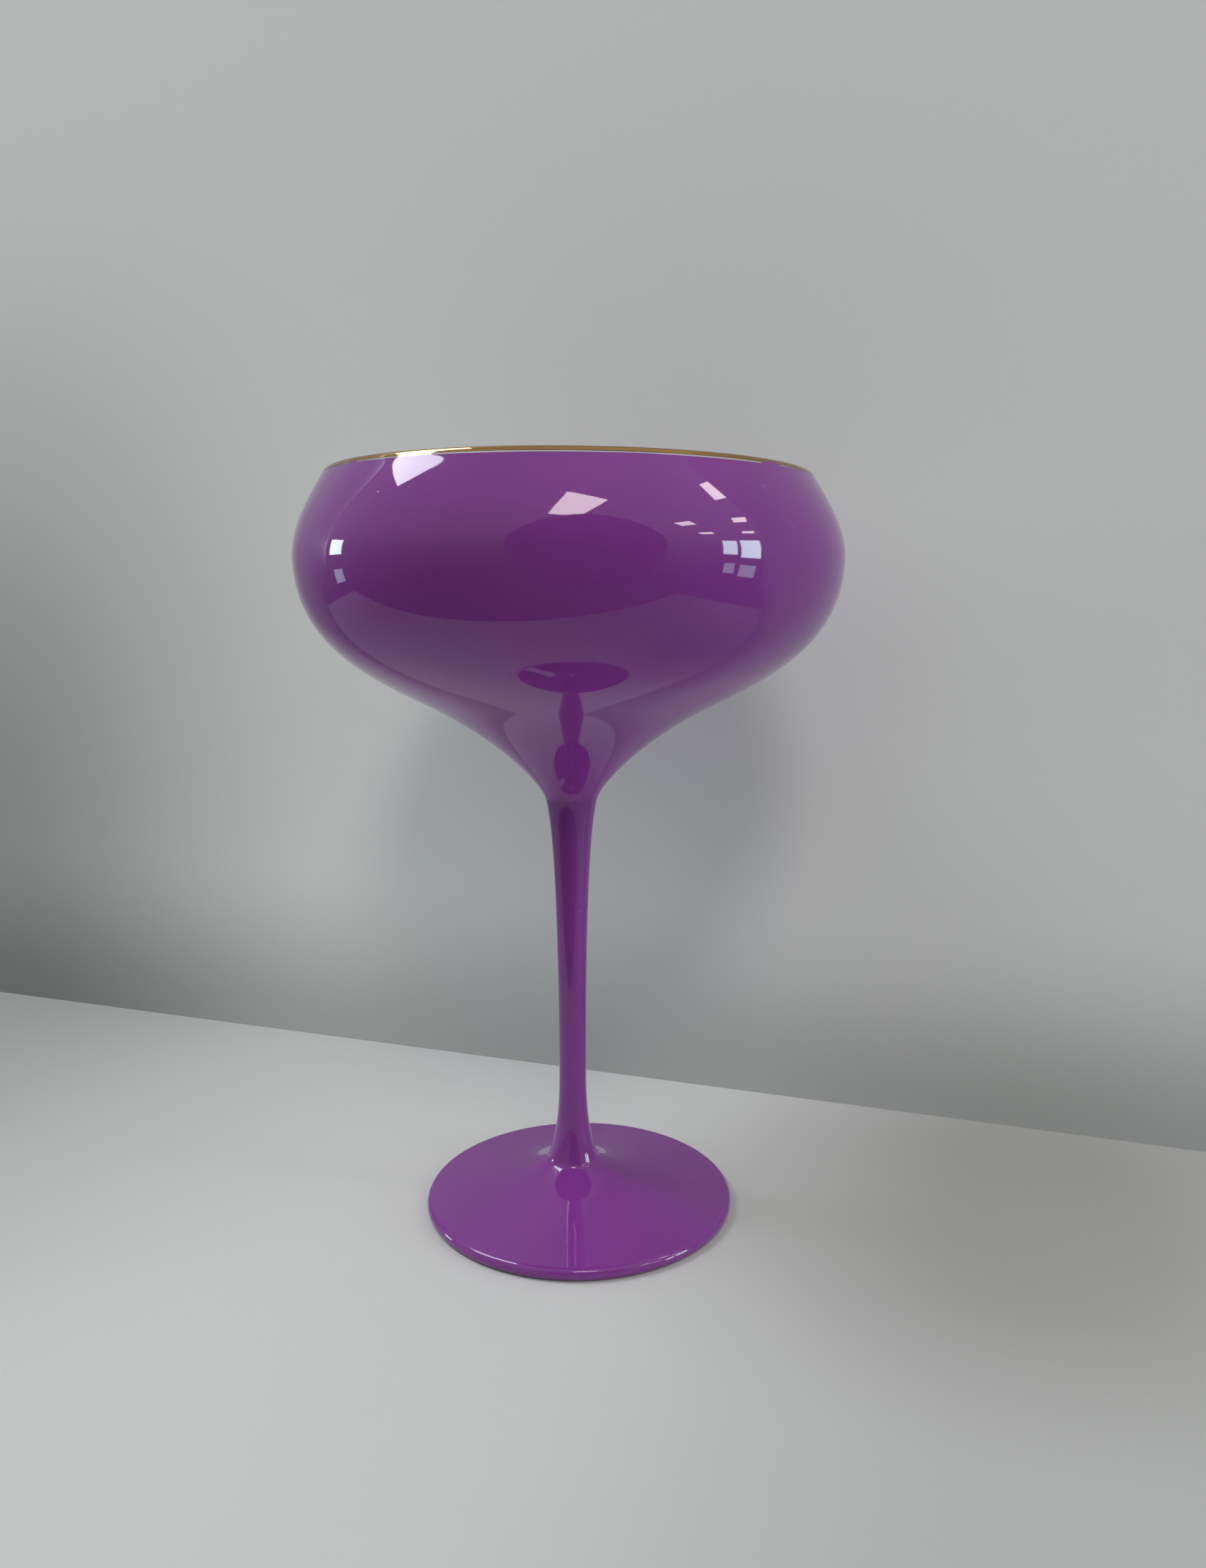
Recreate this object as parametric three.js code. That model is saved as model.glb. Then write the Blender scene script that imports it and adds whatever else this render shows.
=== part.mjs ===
// Champagne coupe: a wide saucer bowl on a drawn stem and a round foot.
// Three pieces of clear glass are fused into one line (foot, stem, bowl). Purple lacquer covers
// what faces outwards, and a band of fired gold wraps the lip, with a bare ring between the two.
// Millimetres, +Z up, the axis of revolution on Z, and the foot's resting ring at z = 0.

import * as THREE from 'three';

const { degToRad } = THREE.MathUtils;

// Driving dimensions.
const HEIGHT = 155;
const BELLY_RADIUS = 54.8;
const BELLY_HEIGHT = 138.8;
const RIM_RADIUS = 48.5;
const UNDERSIDE_RADIUS = 30; // where the bowl's flare turns into its saucer
const UNDERSIDE_HEIGHT = 109.8;
const NECK_RADIUS = 5.5;
const NECK_HEIGHT = 89.8;
const WAIST_RADIUS = 2.9;
const WAIST_HEIGHT = 32.4;
const STEM_BASE_RADIUS = 5.2;
const STEM_BASE_HEIGHT = 10.9;
const BOSS_RADIUS = 6.5;
const BOSS_HEIGHT = 9.3;
const FOOT_RADIUS = 33.2;
const FOOT_EDGE_THICKNESS = 2.7;
const WALL = 1.6;
const FILM = 0.2; // lacquer and gold
const SOLID_BASE = 12.2; // glass between the neck and the bowl's well

// The band, the bare ring under it, the flat ring that the foot rests on and the kick inside it.
const BAND_OUTER_LEG = 0.5;
const BAND_INNER_LEG = 0.1;
const BARE_RING = 0.35;
const RESTING_RING_WIDTH = 5;
const KICK_HEIGHT = 3.4;

// A lean is an angle from the vertical, a slope is one from the horizontal.
const RIM_LEAN = degToRad(30);
const UNDERSIDE_SLOPE = degToRad(26.5);
const NECK_LEAN = degToRad(17);
const STEM_BASE_LEAN = degToRad(18);
const BOSS_SLOPE = degToRad(32);
const FOOT_TOP_SLOPE = degToRad(9);
const KICK_SLOPE = degToRad(14);
const BARE_EDGE_ANGLE = degToRad(-62); // on the foot's round edge, where the lacquer starts

const AROUND = 48;

// An outline is a list of points (radius, height) in the plane through the axis.
const point = (radius, height) => new THREE.Vector2(radius, height);
const onAxis = (height) => point(0, height);
const step = (from, direction, length) => from.clone().addScaledVector(direction, length);

const up = point(0, 1);
const down = point(0, -1);
const outwards = point(1, 0);
const inwards = point(-1, 0);
const leaningOut = (lean) => point(Math.sin(lean), Math.cos(lean));
const risingOut = (slope) => point(Math.cos(slope), Math.sin(slope));

// A cubic curve from one point along `leaving` to another along `arriving`; the reach and the
// brake are the lengths of its two handles.
function curve({ from, leaving, reach, to, arriving, brake, pieces }) {
  const firstHandle = step(from, leaving, reach);
  const lastHandle = step(to, arriving, -brake);
  return new THREE.CubicBezierCurve(from, firstHandle, lastHandle, to).getPoints(pieces);
}

function arc({ centre, radius, start, end, pieces }) {
  const { x, y } = centre;
  return new THREE.EllipseCurve(x, y, radius, radius, start, end).getPoints(pieces);
}

// Joins stretches that share their end points.
function chain(...stretches) {
  return stretches.flatMap((points, index) => (index === 0 ? points : points.slice(1)));
}

const belly = point(BELLY_RADIUS, BELLY_HEIGHT);
const underside = point(UNDERSIDE_RADIUS, UNDERSIDE_HEIGHT);
const neck = point(NECK_RADIUS, NECK_HEIGHT);
const waist = point(WAIST_RADIUS, WAIST_HEIGHT);
const stemBase = point(STEM_BASE_RADIUS, STEM_BASE_HEIGHT);
const boss = point(BOSS_RADIUS, BOSS_HEIGHT);
const edgeRadius = FOOT_EDGE_THICKNESS / 2;
const edgeCentre = point(FOOT_RADIUS - edgeRadius, edgeRadius);

const lipRadius = WALL / 2;
const lipCentre = point(RIM_RADIUS - lipRadius, HEIGHT - lipRadius);
const rimHeading = leaningOut(-RIM_LEAN);
const lipOuter = step(lipCentre, risingOut(RIM_LEAN), lipRadius);
const lipInner = step(lipCentre, risingOut(RIM_LEAN), -lipRadius);
const bandEdge = step(lipOuter, rimHeading, -BAND_OUTER_LEG);
const coatEdge = step(bandEdge, rimHeading, -BARE_RING);
const bandInnerEdge = step(lipInner, rimHeading, -BAND_INNER_LEG);

// The visible outside runs from the foot's edge, over the foot and up the stem to the lip.
function footSkin() {
  const edgeTopAngle = Math.PI / 2 - FOOT_TOP_SLOPE;
  const edge = arc({
    centre: edgeCentre, radius: edgeRadius, start: BARE_EDGE_ANGLE, end: edgeTopAngle, pieces: 6,
  });
  const top = curve({
    from: edge[edge.length - 1], leaving: risingOut(Math.PI - FOOT_TOP_SLOPE), reach: 14,
    to: boss, arriving: risingOut(Math.PI - BOSS_SLOPE), brake: 6, pieces: 5,
  });
  const crease = curve({
    from: boss, leaving: risingOut(Math.PI - BOSS_SLOPE), reach: 0.8,
    to: stemBase, arriving: leaningOut(-STEM_BASE_LEAN), brake: 1, pieces: 3,
  });
  return chain(edge, top, crease);
}

function stemSkin() {
  const flare = curve({
    from: stemBase, leaving: leaningOut(-STEM_BASE_LEAN), reach: 6.8,
    to: waist, arriving: up, brake: 9.8, pieces: 4,
  });
  const shaft = curve({
    from: waist, leaving: up, reach: 10.6,
    to: neck, arriving: leaningOut(NECK_LEAN), brake: 8.5, pieces: 6,
  });
  return chain(flare, shaft);
}

function bowlSkin() {
  const flare = curve({
    from: neck, leaving: leaningOut(NECK_LEAN), reach: 3.6,
    to: underside, arriving: risingOut(UNDERSIDE_SLOPE), brake: 16, pieces: 6,
  });
  const saucer = curve({
    from: underside, leaving: risingOut(UNDERSIDE_SLOPE), reach: 12.9,
    to: belly, arriving: up, brake: 16.5, pieces: 5,
  });
  const shoulder = curve({
    from: belly, leaving: up, reach: 6.2,
    to: coatEdge, arriving: rimHeading, brake: 2.6, pieces: 4,
  });
  return chain(flare, saucer, shoulder);
}

function lipSkin() {
  const roundLip = arc({
    centre: lipCentre, radius: lipRadius, start: RIM_LEAN, end: RIM_LEAN + Math.PI, pieces: 5,
  });
  return [bandEdge, ...roundLip, bandInnerEdge];
}

// The bare inside of the bowl, from the band's inner edge down to the axis.
function bowlInside() {
  const innerBelly = step(belly, inwards, WALL);
  const innerUnderside = step(underside, up, WALL / Math.cos(UNDERSIDE_SLOPE) + 0.2);
  const fallingIn = risingOut(Math.PI + UNDERSIDE_SLOPE);
  const shoulder = curve({
    from: bandInnerEdge, leaving: rimHeading.clone().negate(), reach: 2.6,
    to: innerBelly, arriving: down, brake: 6.2, pieces: 4,
  });
  const saucer = curve({
    from: innerBelly, leaving: down, reach: 15.5,
    to: innerUnderside, arriving: fallingIn, brake: 12.5, pieces: 5,
  });
  const well = curve({
    from: innerUnderside, leaving: fallingIn, reach: 11,
    to: onAxis(NECK_HEIGHT + SOLID_BASE), arriving: inwards, brake: 12, pieces: 4,
  });
  return chain(shoulder, saucer, well);
}

// The bare underside of the foot: the kick, the resting ring and the lower part of the edge.
function footUnderside() {
  const ringOuter = point(edgeCentre.x, 0);
  const ringInner = step(ringOuter, inwards, RESTING_RING_WIDTH);
  const kick = curve({
    from: onAxis(KICK_HEIGHT), leaving: outwards, reach: 10,
    to: ringInner, arriving: risingOut(-KICK_SLOPE), brake: 8, pieces: 4,
  });
  const bareEdge = arc({
    centre: edgeCentre, radius: edgeRadius, start: -Math.PI / 2, end: BARE_EDGE_ANGLE, pieces: 2,
  });
  return chain(kick, [ringInner, ringOuter], bareEdge);
}

// The points that lie one film's thickness under an outline, square to it.
function underFilm(outline) {
  return outline.map((here, index) => {
    const before = outline[Math.max(index - 1, 0)];
    const after = outline[Math.min(index + 1, outline.length - 1)];
    const along = after.clone().sub(before).normalize();
    return point(here.x - along.y * FILM, here.y + along.x * FILM);
  });
}

// The films lie between the skin and the core. The glass shares the core's points, so the two
// meet face to face.
const bareRing = [coatEdge, bandEdge];
const stretches = [footSkin(), stemSkin(), bowlSkin(), bareRing, lipSkin()];
const skin = chain(...stretches);
const core = underFilm(skin);
const [footSteps, stemSteps, bowlSteps, bareSteps] = stretches.map((points) => points.length - 1);
const stemStart = footSteps;
const bowlStart = stemStart + stemSteps;
const coatEnd = bowlStart + bowlSteps;
const bandStart = coatEnd + bareSteps;
const lipEnd = skin.length - 1;

const clearGlass = { color: 0xdfe6e4, roughness: 0.03, metalness: 0, transparent: true, opacity: 0.35 };
const purpleLacquer = { color: 0x5f2866, roughness: 0.06, metalness: 0 };
const firedGold = { color: 0xb8883c, roughness: 0.16, metalness: 1 };

function lathe(name, profile, look) {
  const geometry = new THREE.LatheGeometry(profile, AROUND);
  geometry.rotateX(Math.PI / 2);
  const mesh = new THREE.Mesh(geometry, new THREE.MeshStandardMaterial(look));
  mesh.name = name;
  return mesh;
}

// A film between two points of the skin: its profile closes on itself.
function film(name, first, last, look) {
  const outside = skin.slice(first, last + 1);
  const inside = core.slice(first, last + 1).reverse();
  return lathe(name, [...outside, ...inside, outside[0]], look);
}

function footGlass() {
  const covered = core.slice(0, stemStart + 1);
  return lathe('foot', [...footUnderside(), ...covered, onAxis(core[stemStart].y)], clearGlass);
}

function stemGlass() {
  const covered = core.slice(stemStart, bowlStart + 1);
  const profile = [onAxis(core[stemStart].y), ...covered, onAxis(core[bowlStart].y)];
  return lathe('stem', profile, clearGlass);
}

function bowlGlass() {
  const covered = core.slice(bowlStart, lipEnd + 1);
  return lathe('bowl', [onAxis(core[bowlStart].y), ...covered, ...bowlInside()], clearGlass);
}

const coupe = new THREE.Group();
coupe.add(footGlass(), stemGlass(), bowlGlass());
coupe.add(film('foot_lacquer', 0, stemStart, purpleLacquer));
coupe.add(film('stem_lacquer', stemStart, bowlStart, purpleLacquer));
coupe.add(film('bowl_lacquer', bowlStart, coatEnd, purpleLacquer));
coupe.add(film('gold_rim_band', bandStart, lipEnd, firedGold));

export default coupe;
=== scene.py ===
"""Champagne coupe: clear glass, purple lacquer on its outside and a lip of fired gold.

Every CAD node is replaced by a finely turned piece at the same place, with the small faults of
blown, sprayed and hand-banded glass. Metres, +Z up, the axis of revolution on Z, and the foot's
resting ring at z = 0. Outlines are written in the CAD's millimetres, as (radius, height) points.
"""

import math

import bmesh
import bpy
from mathutils import Matrix, Vector


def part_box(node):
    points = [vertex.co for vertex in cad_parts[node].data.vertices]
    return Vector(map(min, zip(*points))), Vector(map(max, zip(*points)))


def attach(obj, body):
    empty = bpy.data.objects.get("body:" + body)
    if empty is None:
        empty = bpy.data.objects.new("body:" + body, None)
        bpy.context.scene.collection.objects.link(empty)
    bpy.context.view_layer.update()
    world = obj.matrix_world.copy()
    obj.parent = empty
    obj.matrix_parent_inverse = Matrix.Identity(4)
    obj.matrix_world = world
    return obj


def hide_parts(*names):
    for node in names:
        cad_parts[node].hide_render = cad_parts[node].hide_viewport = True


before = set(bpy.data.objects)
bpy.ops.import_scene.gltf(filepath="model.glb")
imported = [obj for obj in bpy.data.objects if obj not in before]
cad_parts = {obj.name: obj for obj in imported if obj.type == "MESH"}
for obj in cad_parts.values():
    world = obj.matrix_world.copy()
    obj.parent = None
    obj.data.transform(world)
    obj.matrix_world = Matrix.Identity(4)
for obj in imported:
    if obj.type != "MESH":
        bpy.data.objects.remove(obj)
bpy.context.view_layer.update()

# ---------------------------------------------------------------------------------------------
# Sizes. The ones that the frame gives are read from it, and the others repeat the CAD's.
# ---------------------------------------------------------------------------------------------
CAD_HEIGHT = 155.0
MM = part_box("gold_rim_band")[1].z / CAD_HEIGHT
BELLY_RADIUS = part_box("bowl_lacquer")[1].x / MM
FOOT_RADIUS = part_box("foot_lacquer")[1].x / MM
BELLY_HEIGHT = 138.8
RIM_RADIUS = 48.5
UNDERSIDE = Vector((30.0, 109.8))
NECK = Vector((5.5, 89.8))
WAIST = Vector((2.9, 32.4))
STEM_BASE = Vector((5.2, 10.9))
BOSS = Vector((6.5, 9.3))
FOOT_EDGE_THICKNESS = 2.7
WALL = 1.6
SOLID_BASE = 12.2
RESTING_RING_WIDTH = 5.0
KICK_HEIGHT = 3.4
BAND_OUTER_LEG = 0.5
BARE_RING = 0.35

RIM_LEAN = math.radians(30)
UNDERSIDE_SLOPE = math.radians(26.5)
NECK_LEAN = math.radians(17)
STEM_BASE_LEAN = math.radians(18)
BOSS_SLOPE = math.radians(32)
FOOT_TOP_SLOPE = math.radians(9)
KICK_SLOPE = math.radians(14)
BARE_EDGE_ANGLE = math.radians(-62)
BAND_END_ANGLE = RIM_LEAN + math.radians(140)  # on the round lip, where the gold stops inside

# How deep the films reach under the skin, and where the glass starts. The glass starts inside
# the film, so that no air lies between the two.
FILM_DEPTH = 0.10
GLASS_DEPTH = 0.05
GOLD_DEPTH = 0.01  # how far the gold's face lies under the lacquer's
JOIN_GAP = 0.01

AROUND = 256
ON_AXIS = 1e-6  # a radius below this counts as the axis
SHARP_ANGLE = math.radians(35)


# ---------------------------------------------------------------------------------------------
# Outlines
# ---------------------------------------------------------------------------------------------
def leaning_out(lean):
    return Vector((math.sin(lean), math.cos(lean)))


def rising_out(slope):
    return Vector((math.cos(slope), math.sin(slope)))


UP = Vector((0.0, 1.0))
OUTWARDS = Vector((1.0, 0.0))


def curve(start, leaving, reach, end, arriving, brake, pieces):
    """A cubic curve from start along leaving to end along arriving, with its handles' lengths.
    Its points crowd towards both ends, so that the shading runs on from piece to piece."""
    first_handle = start + leaving * reach
    last_handle = end - arriving * brake
    points = []
    for i in range(pieces + 1):
        t = 0.5 - 0.5 * math.cos(math.pi * i / pieces)
        s = 1 - t
        points.append(
            start * s**3 + first_handle * 3 * s * s * t + last_handle * 3 * s * t * t + end * t**3
        )
    return points


def arc(centre, radius, start, end, pieces):
    return [centre + rising_out(start + (end - start) * i / pieces) * radius
            for i in range(pieces + 1)]


def line(start, end, pieces):
    return [start.lerp(end, i / pieces) for i in range(pieces + 1)]


def chain(*stretches):
    """Joins stretches that share their end points."""
    points = list(stretches[0])
    for stretch in stretches[1:]:
        points += stretch[1:]
    return points


def sunk(points, depth):
    """The outline that lies depth under this one, square to it, on its left-hand side."""
    result = []
    for i, here in enumerate(points):
        along = (points[min(i + 1, len(points) - 1)] - points[max(i - 1, 0)]).normalized()
        result.append(here + Vector((-along.y, along.x)) * depth)
    return result


EDGE_RADIUS = FOOT_EDGE_THICKNESS / 2
EDGE_CENTRE = Vector((FOOT_RADIUS - EDGE_RADIUS, EDGE_RADIUS))
BELLY = Vector((BELLY_RADIUS, BELLY_HEIGHT))
LIP_RADIUS = WALL / 2
LIP_CENTRE = Vector((RIM_RADIUS - LIP_RADIUS, CAD_HEIGHT - LIP_RADIUS))
RIM_HEADING = leaning_out(-RIM_LEAN)
LIP_OUTER = LIP_CENTRE + rising_out(RIM_LEAN) * LIP_RADIUS
LIP_INNER = LIP_CENTRE - rising_out(RIM_LEAN) * LIP_RADIUS


def foot_skin():
    edge = arc(EDGE_CENTRE, EDGE_RADIUS, BARE_EDGE_ANGLE, math.pi / 2 - FOOT_TOP_SLOPE, 20)
    top = curve(edge[-1], rising_out(math.pi - FOOT_TOP_SLOPE), 14,
                BOSS, rising_out(math.pi - BOSS_SLOPE), 6, 30)
    crease = curve(BOSS, rising_out(math.pi - BOSS_SLOPE), 0.8,
                   STEM_BASE, leaning_out(-STEM_BASE_LEAN), 1, 10)
    return chain(edge, top, crease)


def stem_skin():
    flare = curve(STEM_BASE, leaning_out(-STEM_BASE_LEAN), 6.8, WAIST, UP, 9.8, 24)
    shaft = curve(WAIST, UP, 10.6, NECK, leaning_out(NECK_LEAN), 8.5, 40)
    return chain(flare, shaft)


def bowl_skin(coat_edge):
    flare = curve(NECK, leaning_out(NECK_LEAN), 3.6,
                  UNDERSIDE, rising_out(UNDERSIDE_SLOPE), 16, 36)
    saucer = curve(UNDERSIDE, rising_out(UNDERSIDE_SLOPE), 12.9, BELLY, UP, 16.5, 36)
    shoulder = curve(BELLY, UP, 6.2, coat_edge, RIM_HEADING, 2.6, 22)
    return chain(flare, saucer, shoulder)


def bowl_inside():
    """From the gold's inner edge down to the axis."""
    inner_belly = BELLY - OUTWARDS * WALL
    inner_underside = UNDERSIDE + UP * (WALL / math.cos(UNDERSIDE_SLOPE) + 0.2)
    falling_in = rising_out(math.pi + UNDERSIDE_SLOPE)
    bare_lip = arc(LIP_CENTRE, LIP_RADIUS, BAND_END_ANGLE, RIM_LEAN + math.pi, 6)
    shoulder = curve(LIP_INNER, -RIM_HEADING, 2.6, inner_belly, -UP, 6.2, 22)
    saucer = curve(inner_belly, -UP, 15.5, inner_underside, falling_in, 12.5, 32)
    well = curve(inner_underside, falling_in, 11,
                 Vector((0, NECK.y + SOLID_BASE)), -OUTWARDS, 12, 24)
    return chain(bare_lip, shoulder, saucer, well)


def foot_underside():
    ring_outer = Vector((EDGE_CENTRE.x, 0))
    ring_inner = ring_outer - OUTWARDS * RESTING_RING_WIDTH
    kick = curve(Vector((0, KICK_HEIGHT)), OUTWARDS, 10,
                 ring_inner, rising_out(-KICK_SLOPE), 8, 24)
    bare_edge = arc(EDGE_CENTRE, EDGE_RADIUS, -math.pi / 2, BARE_EDGE_ANGLE, 4)
    return chain(kick, line(ring_inner, ring_outer, 4), bare_edge)


# ---------------------------------------------------------------------------------------------
# Turning
# ---------------------------------------------------------------------------------------------
FOOT_OFFSET = 1.34  # the foot's disc was pressed a little to one side of the stem
OUT_OF_ROUND = 0.06
OVAL_START = 0.6  # radians
OVAL_TWIST = 60  # over this much height the wide side turns by half a radian
RIM_TILT = math.radians(-0.43)  # the mouth was cut slightly askew, and is higher on the left


def smooth_step(low, high, value):
    t = min(max((value - low) / (high - low), 0.0), 1.0)
    return t * t * (3 - 2 * t)


def as_made(radius, angle, height):
    """Where a point of the ideal outline lies on the real glass, in metres."""
    oval = math.sin(2 * angle + OVAL_START + height / OVAL_TWIST)
    swell = OUT_OF_ROUND * radius / BELLY_RADIUS * oval
    x = (radius + swell) * math.cos(angle)
    y = (radius + swell) * math.sin(angle)
    if height < STEM_BASE.y:
        x += FOOT_OFFSET * smooth_step(BOSS.x, FOOT_RADIUS, radius)
    rise = RIM_TILT * x * smooth_step(BELLY_HEIGHT, CAD_HEIGHT, height)
    return Vector((x, y, height + rise)) * MM


def turned(name, outline_at, closed=False):
    """A mesh of revolution. outline_at(angle) gives the outline there; every outline has the
    same number of points. A point on the axis becomes one vertex."""
    angles = [2 * math.pi * k / AROUND for k in range(AROUND)]
    outlines = [outline_at(angle) for angle in angles]
    mesh = bmesh.new()
    rings = []
    for i, first in enumerate(outlines[0]):
        if first.x < ON_AXIS:
            rings.append([mesh.verts.new(as_made(0, 0, first.y))] * AROUND)
            continue
        rings.append([mesh.verts.new(as_made(outlines[k][i].x, angles[k], outlines[k][i].y))
                      for k in range(AROUND)])
    if closed:
        rings.append(rings[0])
    for lower, upper in zip(rings, rings[1:]):
        for k in range(AROUND):
            after = (k + 1) % AROUND
            corners = [lower[k], lower[after], upper[after], upper[k]]
            unique = list(dict.fromkeys(corners))
            mesh.faces.new(unique).smooth = True
    bmesh.ops.recalc_face_normals(mesh, faces=mesh.faces)
    data = bpy.data.meshes.new(name)
    mesh.to_mesh(data)
    mesh.free()
    data.set_sharp_from_angle(angle=SHARP_ANGLE)
    piece = bpy.data.objects.new(name, data)
    bpy.context.scene.collection.objects.link(piece)
    return piece


def film(name, outline_at):
    """A thin closed skin under an outline."""
    def loop(angle):
        outside = outline_at(angle)
        return outside + sunk(outside, FILM_DEPTH)[::-1]
    return turned(name, loop, closed=True)


# ---------------------------------------------------------------------------------------------
# Pieces
# ---------------------------------------------------------------------------------------------
# Waves round the lip: how high, how many and where they start. Patches of lacquer that run past
# its edge: their place and half length round the lip in degrees, and how far they climb.
BAND_WAVES = ((0.05, 2, 1.1), (0.03, 5, 0), (0.015, 17, 2))
RING_WAVES = ((0.02, 7, 1),)
RING_AT_SIDES = 0.35  # the bare ring's width at the sides, as a share of its width in front
SPRAY_PATCHES = ((-44, 3.2, 0.65), (-141, 1.2, 0.42))
RAGGED_DEPTH = 0.3
RAGGED_TEETH = 90


def wavy(mean, waves, angle):
    return sum((height * math.sin(count * angle + start) for height, count, start in waves), mean)


def band_leg_at(angle):
    """The gold's outer leg: brushed on by hand, so its lower edge wanders."""
    return wavy(BAND_OUTER_LEG, BAND_WAVES, angle)


def spray_past_edge(angle, centre, half_length, height):
    """How far a ragged patch of lacquer climbs there."""
    reach = 1 - abs((angle - centre + math.pi) % (2 * math.pi) - math.pi) / half_length
    ragged = 1 + RAGGED_DEPTH * math.sin(RAGGED_TEETH * angle)
    return height * smooth_step(0.0, 0.5, reach) * ragged


def bare_ring_at(angle):
    """The bare glass between the gold and the lacquer, narrower at the sides. In two places the
    lacquer runs across it and over the gold."""
    facing = smooth_step(0.5, 0.9, abs(math.sin(angle)))
    width = BARE_RING * (RING_AT_SIDES + (1 - RING_AT_SIDES) * facing)
    ring = wavy(width, RING_WAVES, angle)
    over = sum(spray_past_edge(angle, math.radians(centre), math.radians(half_length), height)
               for centre, half_length, height in SPRAY_PATCHES)
    return ring - over


def band_edge_at(angle):
    return LIP_OUTER - RIM_HEADING * band_leg_at(angle)


def coat_edge_at(angle):
    return band_edge_at(angle) - RIM_HEADING * bare_ring_at(angle)


def round_lip():
    return arc(LIP_CENTRE, LIP_RADIUS, RIM_LEAN, BAND_END_ANGLE, 14)


def lip_skin(angle):
    band = chain(line(band_edge_at(angle), LIP_OUTER, 3), round_lip())
    return sunk(band, GOLD_DEPTH)


def foot_glass_outline(_):
    covered = sunk(foot_skin(), GLASS_DEPTH)
    top = covered[-1].y - JOIN_GAP
    covered[-1].y = top
    return foot_underside() + covered + [Vector((0, top))]


def stem_glass_outline(_):
    covered = sunk(stem_skin(), GLASS_DEPTH)
    return [Vector((0, covered[0].y))] + covered + [Vector((0, covered[-1].y))]


def bowl_glass_outline(_):
    nominal_edge = LIP_OUTER - RIM_HEADING * (BAND_OUTER_LEG + BARE_RING)
    skin = chain(bowl_skin(nominal_edge), line(nominal_edge, LIP_OUTER, 4), round_lip())
    covered = sunk(skin, GLASS_DEPTH)
    bottom = covered[0].y + JOIN_GAP
    covered[0].y = bottom
    return [Vector((0, bottom))] + covered + bowl_inside()


# Each piece by its name: the CAD node it replaces, its material slot and its object.
PIECES = {
    "foot_glass": ("foot", "clear_glass", turned("foot_glass", foot_glass_outline)),
    "stem_glass": ("stem", "clear_glass", turned("stem_glass", stem_glass_outline)),
    "bowl_glass": ("bowl", "clear_glass", turned("bowl_glass", bowl_glass_outline)),
    "foot_coat": ("foot_lacquer", "purple_lacquer", film("foot_coat", lambda a: foot_skin())),
    "stem_coat": ("stem_lacquer", "purple_lacquer", film("stem_coat", lambda a: stem_skin())),
    "bowl_coat": ("bowl_lacquer", "purple_lacquer",
                  film("bowl_coat", lambda a: bowl_skin(coat_edge_at(a)))),
    "gold_band": ("gold_rim_band", "fired_gold", film("gold_band", lip_skin)),
}


# ---------------------------------------------------------------------------------------------
# Materials. Lengths are in metres, and a noise's scale is in features to the metre.
# ---------------------------------------------------------------------------------------------
LACQUER = (0.197, 0.033, 0.243)
GLASS = (0.975, 0.99, 0.985)
GOLD = (0.42, 0.245, 0.095)
PEEL_HEIGHT = 6e-6
SPECK_SPACING = 0.0067
SPECK_RADIUS = 0.00035
SPECK_HEIGHT = 9e-5
GLASS_WAVE = 1e-5
STREAK_HEIGHT = 2e-6
CLOUD_SCALE = 30
PIGMENT_SCALE = 1500
GLOSS_SCALE = 80
PEEL_SCALE = 250
TINT_SCALE = 40
WAVE_SCALE = 60
STREAK_SCALE = (60, 60, 6000)  # streaks run level, a hundred times longer than they are wide
NOISE_RANGE = (0.3, 0.7)  # where most of a noise's values lie
REFRACTION = 1.5


def new_material(name):
    material = bpy.data.materials.new(name)
    material.use_nodes = True
    return material, material.node_tree.nodes, material.node_tree.links


def noise(nodes, links, point, scale, detail=2.0):
    """A soft random value about 0.5, with features some 1 / scale metres across."""
    texture = nodes.new("ShaderNodeTexNoise")
    texture.inputs["Scale"].default_value = scale
    texture.inputs["Detail"].default_value = detail
    links.new(point, texture.inputs["Vector"])
    return texture.outputs["Fac"]


def mapped(nodes, links, value, source, target):
    """Eases a value from one range to another. Beyond the range it stays at the end."""
    mapping = nodes.new("ShaderNodeMapRange")
    mapping.interpolation_type = "SMOOTHSTEP"
    mapping.inputs["From Min"].default_value, mapping.inputs["From Max"].default_value = source
    mapping.inputs["To Min"].default_value, mapping.inputs["To Max"].default_value = target
    links.new(value, mapping.inputs["Value"])
    return mapping.outputs["Result"]


def varied(nodes, links, point, scale, target):
    """Noise of that scale, spread over the target range."""
    return mapped(nodes, links, noise(nodes, links, point, scale), NOISE_RANGE, target)


def arithmetic(nodes, links, operation, first, second):
    node = nodes.new("ShaderNodeMath")
    node.operation = operation
    for socket, value in zip(node.inputs, (first, second)):
        if isinstance(value, float):
            socket.default_value = value
        else:
            links.new(value, socket)
    return node.outputs["Value"]


def scaled_colour(nodes, links, colour, factor):
    node = nodes.new("ShaderNodeVectorMath")
    node.operation = "SCALE"
    node.inputs["Vector"].default_value = colour
    links.new(factor, node.inputs["Scale"])
    return node.outputs["Vector"]


def bumped(nodes, links, shader, height, distance):
    """Raises the surface by height times distance, which is in metres."""
    bump = nodes.new("ShaderNodeBump")
    bump.inputs["Distance"].default_value = distance
    links.new(height, bump.inputs["Height"])
    links.new(bump.outputs["Normal"], shader.inputs["Normal"])


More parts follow.
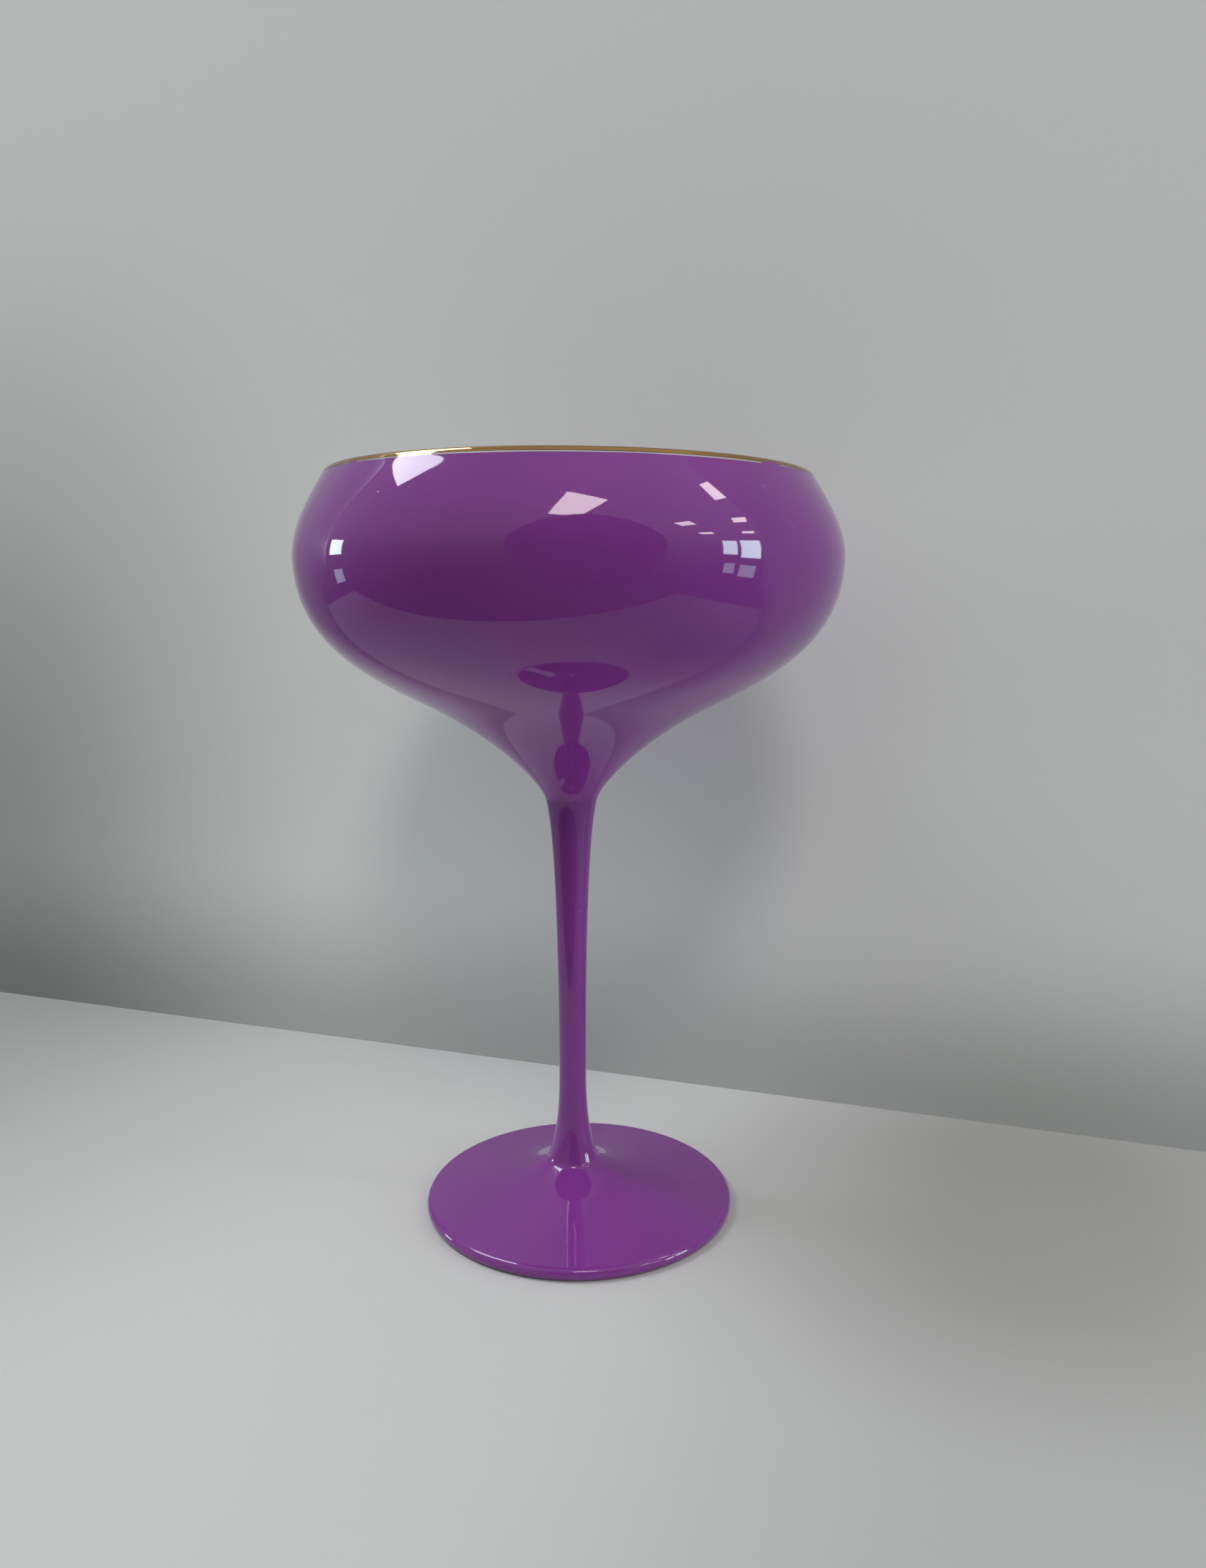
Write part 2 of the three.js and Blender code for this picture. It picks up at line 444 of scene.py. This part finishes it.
def lacquer_material():
    """Sprayed gloss: cloudy in colour, a little orange peel, and specks of dust under the film."""
    material, nodes, links = new_material("purple_lacquer")
    shader = nodes["Principled BSDF"]
    shader.inputs["IOR"].default_value = REFRACTION
    point = nodes.new("ShaderNodeTexCoord").outputs["Object"]

    clouds = varied(nodes, links, point, CLOUD_SCALE, (0.95, 1.05))
    pigment = varied(nodes, links, point, PIGMENT_SCALE, (0.98, 1.02))
    strength = arithmetic(nodes, links, "MULTIPLY", clouds, pigment)
    links.new(scaled_colour(nodes, links, LACQUER, strength), shader.inputs["Base Color"])

    roughness = varied(nodes, links, point, GLOSS_SCALE, (0.02, 0.045))
    links.new(roughness, shader.inputs["Roughness"])

    specks = nodes.new("ShaderNodeTexVoronoi")
    specks.inputs["Scale"].default_value = 1 / SPECK_SPACING
    links.new(point, specks.inputs["Vector"])
    speck = mapped(nodes, links, specks.outputs["Distance"],
                   (0.0, SPECK_RADIUS / SPECK_SPACING), (SPECK_HEIGHT / PEEL_HEIGHT, 0.0))
    peel = noise(nodes, links, point, PEEL_SCALE, detail=1.0)
    height = arithmetic(nodes, links, "ADD", peel, speck)
    bumped(nodes, links, shader, height, PEEL_HEIGHT)
    return material


def glass_material():
    """Clear glass, faintly wavy and faintly uneven in tint, as blown glass is."""
    material, nodes, links = new_material("clear_glass")
    shader = nodes["Principled BSDF"]
    shader.inputs["Roughness"].default_value = 0.01
    shader.inputs["IOR"].default_value = REFRACTION
    shader.inputs["Transmission Weight"].default_value = 1.0
    point = nodes.new("ShaderNodeTexCoord").outputs["Object"]
    tint = varied(nodes, links, point, TINT_SCALE, (0.985, 1.0))
    links.new(scaled_colour(nodes, links, GLASS, tint), shader.inputs["Base Color"])
    bumped(nodes, links, shader, noise(nodes, links, point, WAVE_SCALE), GLASS_WAVE)
    return material


def gold_material():
    """Fired gold, with the brush's streaks running round the lip."""
    material, nodes, links = new_material("fired_gold")
    shader = nodes["Principled BSDF"]
    shader.inputs["Metallic"].default_value = 1.0
    point = nodes.new("ShaderNodeTexCoord").outputs["Object"]
    stretched = nodes.new("ShaderNodeVectorMath")
    stretched.operation = "MULTIPLY"
    stretched.inputs[1].default_value = STREAK_SCALE
    links.new(point, stretched.inputs[0])
    streaks = noise(nodes, links, stretched.outputs["Vector"], 1, detail=3.0)

    shade = mapped(nodes, links, streaks, NOISE_RANGE, (0.85, 1.12))
    links.new(scaled_colour(nodes, links, GOLD, shade), shader.inputs["Base Color"])
    roughness = mapped(nodes, links, streaks, NOISE_RANGE, (0.02, 0.05))
    links.new(roughness, shader.inputs["Roughness"])
    bumped(nodes, links, shader, streaks, STREAK_HEIGHT)
    return material


FINISHES = {
    "clear_glass": glass_material(),
    "purple_lacquer": lacquer_material(),
    "fired_gold": gold_material(),
}

for cad_node, slot_name, piece in PIECES.values():
    piece.data.materials.append(FINISHES[slot_name])
    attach(piece, "root")
    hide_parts(cad_node)


# ---------------------------------------------------------------------------------------------
# Stage: a pale shelf against a pale wall, in soft room light with ceiling lamps and windows
# ---------------------------------------------------------------------------------------------
ROOM_TURN = math.radians(-20.3)  # the room's own right, seen from above, against +X
WALL_DISTANCE = 0.069
WALL_END = 0.5  # the wall ends this far to the right, and lamps shine past it
SHELF_DEPTH = 0.137
SHELF_ENDS = (-0.45, 0.25)
FLOOR_DROP = 0.0001  # the floor lies this far under the shelf's top
FAR = 3.0  # how far the floor and wall reach, and how far away the windows are
CEILING = 2.0
BOUNCE_LEVEL = 0.002
BOUNCE_SIZE = 0.3

SHELF_COLOUR = (0.65, 0.665, 0.63)
WALL_COLOUR = (0.75, 0.79, 0.765)
FLAG_COLOUR = (0.2, 0.2, 0.2, 1)
ROOM_COLOUR = (0.97, 1.0, 0.985, 1)
PAINT_ROUGHNESS = 0.6
FLAG_ROUGHNESS = 0.9

# Radiances, and the colours of the lights.
LAMP = 12.0
DAYLIGHT = 12.0
BOUNCE = 0.32
BACKDROP = 0.42  # the room as the camera sees it
WARM = (1, 0.87, 0.86)
COOL = (0.87, 0.88, 1)
WHITE = (1, 1, 1)
SKY = (0.72, 0.92, 1.0)

# Shade painted into the colour of the shelf and the wall: from one place to another, in metres,
# and the shade at each.
SHELF_LEFT_PAINTED_SHADE = ((-0.23, -0.03), (0.56, 1.0))
SHELF_RIGHT_PAINTED_SHADE = ((0.01, 0.09), (0.9, 0.72))
# Painted shade on the wall: darker at its foot and in its lower left corner.
WALL_FOOT_PAINTED_SHADE = ((0.0, 0.055), (0.58, 1.0))
CORNER_SHADE_ALONG = ((-0.23, -0.08), (0.55, 0.0))
CORNER_SHADE_UP = ((0.06, 0.28), (1.0, 0.0))

# The room's light by its direction: from one value of Z or X to another, and the strength at each.
ROOM_BY_HEIGHT = ((-0.35, 0.5), (0.1, 0.51))
ROOM_BY_SIDE = ((-0.7, 0.95), (1.1, 1.4))

ALONG_WALL = Vector((math.cos(ROOM_TURN), math.sin(ROOM_TURN), 0))
TOWARDS_WALL = Vector((-math.sin(ROOM_TURN), math.cos(ROOM_TURN), 0))
BOWL_CENTRE = Vector((0, 0, BELLY_HEIGHT * MM))


def in_room(along, towards, height=0.0):
    return ALONG_WALL * along + TOWARDS_WALL * towards + Vector((0, 0, height))


def stage_plane(name, corners):
    data = bpy.data.meshes.new(name)
    data.from_pydata(corners, [], [(0, 1, 2, 3)])
    plane = bpy.data.objects.new(name, data)
    bpy.context.scene.collection.objects.link(plane)
    material, nodes, links = new_material(name)
    nodes["Principled BSDF"].inputs["Roughness"].default_value = PAINT_ROUGHNESS
    data.materials.append(material)
    return plane, nodes, links


def place_along_wall(nodes, links):
    """A point's place along the wall, in metres, positive to the right."""
    place = nodes.new("ShaderNodeVectorMath")
    place.operation = "DOT_PRODUCT"
    place.inputs[1].default_value = ALONG_WALL
    links.new(nodes.new("ShaderNodeTexCoord").outputs["Object"], place.inputs[0])
    return place.outputs["Value"]


def height_above_shelf(nodes, links):
    parts = nodes.new("ShaderNodeSeparateXYZ")
    links.new(nodes.new("ShaderNodeTexCoord").outputs["Object"], parts.inputs[0])
    return parts.outputs["Z"]


def level_plane(name, left, right, front, back, height=0.0):
    """Part of the shelf's top. Shade is painted into its colour, darker towards both sides."""
    corners = [in_room(left, front, height), in_room(right, front, height),
               in_room(right, back, height), in_room(left, back, height)]
    plane, nodes, links = stage_plane(name, corners)
    along = place_along_wall(nodes, links)
    # Painted shade: the shelf's colour darkens towards the left and towards the right.
    left_side = mapped(nodes, links, along, *SHELF_LEFT_PAINTED_SHADE)
    right_side = mapped(nodes, links, along, *SHELF_RIGHT_PAINTED_SHADE)
    shade = arithmetic(nodes, links, "MULTIPLY", left_side, right_side)
    links.new(scaled_colour(nodes, links, SHELF_COLOUR, shade),
              nodes["Principled BSDF"].inputs["Base Color"])
    return plane


def paint_shade_on_wall(nodes, links):
    """Paints shade into the wall's colour: darker towards the shelf, and most of all in the lower
    left.
    """
    # Painted shade: the wall's colour is darkened low down and in the lower left corner.
    height = height_above_shelf(nodes, links)
    low = mapped(nodes, links, height, *WALL_FOOT_PAINTED_SHADE)
    left = mapped(nodes, links, place_along_wall(nodes, links), *CORNER_SHADE_ALONG)
    fading = mapped(nodes, links, height, *CORNER_SHADE_UP)
    painted_corner_shade = arithmetic(nodes, links, "MULTIPLY", left, fading)
    uncornered = arithmetic(nodes, links, "SUBTRACT", 1.0, painted_corner_shade)
    shade = arithmetic(nodes, links, "MULTIPLY", low, uncornered)
    links.new(scaled_colour(nodes, links, WALL_COLOUR, shade),
              nodes["Principled BSDF"].inputs["Base Color"])


def see_through_from_behind(nodes, links):
    """Makes a plane clear from its back, so that it never hides the glass."""
    shader = nodes["Principled BSDF"]
    geometry = nodes.new("ShaderNodeNewGeometry")
    clear = nodes.new("ShaderNodeBsdfTransparent")
    mix = nodes.new("ShaderNodeMixShader")
    links.new(geometry.outputs["Backfacing"], mix.inputs["Fac"])
    links.new(shader.outputs["BSDF"], mix.inputs[1])
    links.new(clear.outputs["BSDF"], mix.inputs[2])
    links.new(mix.outputs["Shader"], nodes["Material Output"].inputs["Surface"])


def flag(name, centre, half_width, half_height):
    """An upright grey oval in front of the glass, where a person would stand. It keeps the lamps
    off the shelf and the foot of the wall. The camera sees through it."""
    mesh = bmesh.new()
    bmesh.ops.create_circle(mesh, cap_ends=True, segments=64, radius=1)
    data = bpy.data.meshes.new(name)
    mesh.to_mesh(data)
    mesh.free()
    card = bpy.data.objects.new(name, data)
    bpy.context.scene.collection.objects.link(card)
    stretched = Matrix.Diagonal((half_width, half_height, 1, 1))
    upright = Matrix.Rotation(math.pi / 2, 4, "X") @ stretched
    card.matrix_world = Matrix.Translation(centre) @ upright
    material, nodes, _ = new_material(name)
    nodes["Principled BSDF"].inputs["Base Color"].default_value = FLAG_COLOUR
    nodes["Principled BSDF"].inputs["Roughness"].default_value = FLAG_ROUGHNESS
    data.materials.append(material)
    card.visible_camera = False


def rectangle_light(name, size, radiance, colour, matrix):
    data = bpy.data.lights.new(name, "AREA")
    data.shape = "RECTANGLE"
    data.size, data.size_y = size
    data.energy = radiance * size[0] * size[1] * math.pi
    data.color = colour
    lamp = bpy.data.objects.new(name, data)
    lamp.matrix_world = matrix
    lamp.visible_camera = False
    bpy.context.scene.collection.objects.link(lamp)
    return lamp


def ceiling_lamp(name, along, towards, size, colour=WARM):
    """A lamp in the ceiling, placed in the room's own axes."""
    matrix = Matrix.Translation(in_room(along, towards, CEILING))
    matrix @= Matrix.Rotation(ROOM_TURN, 4, "Z")
    rectangle_light(name, size, LAMP, colour, matrix)


def direction(azimuth, elevation):
    """Degrees as the bowl sees them: azimuth 0 is towards the camera, and 90 is +X."""
    a, e = math.radians(azimuth), math.radians(elevation)
    return Vector((math.sin(a) * math.cos(e), -math.cos(a) * math.cos(e), math.sin(e)))


def window(name, azimuth, elevation, across, tall, brightness=1.0):
    """A window in that direction. Angles are in degrees."""
    away = direction(azimuth, elevation)
    centre = away * FAR + BOWL_CENTRE
    matrix = Matrix.Translation(centre) @ away.to_track_quat("Z", "Y").to_matrix().to_4x4()
    size = [2 * FAR * math.tan(math.radians(angle) / 2) for angle in (across, tall)]
    rectangle_light(name, size, brightness * DAYLIGHT, SKY, matrix)


def bounce_light(lit):
    """A level light just over the shelf, for the underside of one piece only. Nothing shows or
    reflects it."""
    upwards = Matrix.Translation((0, 0, BOUNCE_LEVEL)) @ Matrix.Rotation(math.pi, 4, "X")
    lamp = rectangle_light("bounce", (BOUNCE_SIZE, BOUNCE_SIZE), BOUNCE, WHITE, upwards)
    lamp.visible_glossy = False
    lamp.visible_transmission = False
    receivers = bpy.data.collections.new("lit_by_bounce")
    receivers.objects.link(lit)
    lamp.light_linking.receiver_collection = receivers


def room_light():
    """A pale room for the eye, and for every other ray a soft one that is darker low down and
    lighter overhead and to the right."""
    world = bpy.data.worlds.new("room")
    bpy.context.scene.world = world
    world.use_nodes = True
    nodes, links = world.node_tree.nodes, world.node_tree.links
    coordinates = nodes.new("ShaderNodeTexCoord")
    parts = nodes.new("ShaderNodeSeparateXYZ")
    links.new(coordinates.outputs["Generated"], parts.inputs[0])

    by_height = mapped(nodes, links, parts.outputs["Z"], *ROOM_BY_HEIGHT)
    by_side = mapped(nodes, links, parts.outputs["X"], *ROOM_BY_SIDE)
    total = arithmetic(nodes, links, "MULTIPLY", by_height, by_side)

    rays = nodes.new("ShaderNodeLightPath")
    seen = nodes.new("ShaderNodeMix")
    seen.inputs["B"].default_value = BACKDROP
    links.new(rays.outputs["Is Camera Ray"], seen.inputs["Factor"])
    links.new(total, seen.inputs["A"])
    background = nodes["Background"]
    background.inputs["Color"].default_value = ROOM_COLOUR
    links.new(seen.outputs["Result"], background.inputs["Strength"])


# The glass stands on a shelf and reflects its edges. The floor carries the shelf's top on all
# round, only for the camera.
level_plane("shelf", *SHELF_ENDS, -SHELF_DEPTH, WALL_DISTANCE)
floor = level_plane("floor", -FAR, FAR, -FAR, FAR, height=-FLOOR_DROP)
floor.visible_glossy = False
floor.visible_diffuse = False

_, wall_nodes, wall_links = stage_plane(
    "wall", [in_room(-FAR, WALL_DISTANCE), in_room(WALL_END, WALL_DISTANCE),
             in_room(WALL_END, WALL_DISTANCE, FAR), in_room(-FAR, WALL_DISTANCE, FAR)])
paint_shade_on_wall(wall_nodes, wall_links)
see_through_from_behind(wall_nodes, wall_links)

flag("flag", (0.06, -0.45, 0.2), half_width=0.26, half_height=0.27)

ceiling_lamp("lamp_centre", 0.72, -1.77, (0.6, 1.05))
ceiling_lamp("lamp_right", 1.79, 0.29, (0.49, 0.31))
ceiling_lamp("lamp_left", -1.415, -0.307, (1.2, 0.6), colour=COOL)
ceiling_lamp("lamp_far_a", 3.18, -1.24, (0.45, 0.45))
ceiling_lamp("lamp_far_b", 3.34, 0.38, (0.45, 0.45))
ceiling_lamp("lamp_far_c", 5.19, -1.32, (0.55, 0.6))
ceiling_lamp("lamp_far_d", 5.33, 0.58, (0.55, 0.6))
window("window_right_a", 64, 5, 6.5, 12)
window("window_right_b", 74, 4.5, 10, 14)
window("window_left", -104.5, 6, 8, 10)
window("pane_right_a", 64, -9, 5, 6, brightness=0.25)
window("pane_right_b", 73, -10, 8, 7, brightness=0.25)
window("pane_left", -104, -8, 6, 6, brightness=0.2)
bounce_light(PIECES["bowl_coat"][2])
room_light()


# ---------------------------------------------------------------------------------------------
# Camera
# ---------------------------------------------------------------------------------------------
IMAGE_HEIGHT = 2184
FOCAL_LENGTH = 1629.75  # in the same units as the image's height
SENSOR_HEIGHT = 36
NEAR_CLIP = 0.01
CAMERA_DISTANCE = 0.2421
CAMERA_HEIGHT = 0.1295
CAMERA_PITCH = math.radians(8.677)
CAMERA_YAW = math.radians(1.568)
CAMERA_ROLL = math.radians(0.0475)

camera_data = bpy.data.cameras.new("camera")
camera = bpy.data.objects.new("camera", camera_data)
bpy.context.scene.collection.objects.link(camera)
bpy.context.scene.camera = camera
camera_data.sensor_width = SENSOR_HEIGHT  # the sensor fits the image's longer side
camera_data.lens = SENSOR_HEIGHT * FOCAL_LENGTH / IMAGE_HEIGHT
camera_data.clip_start = NEAR_CLIP
camera.location = (0, -CAMERA_DISTANCE, CAMERA_HEIGHT)
camera.rotation_mode = "QUATERNION"
camera.rotation_quaternion = (
    Matrix.Rotation(-CAMERA_YAW, 3, "Z")
    @ Matrix.Rotation(math.pi / 2 - CAMERA_PITCH, 3, "X")
    @ Matrix.Rotation(-CAMERA_ROLL, 3, "Z")
).to_quaternion()

bpy.context.scene.view_settings.view_transform = "Standard"
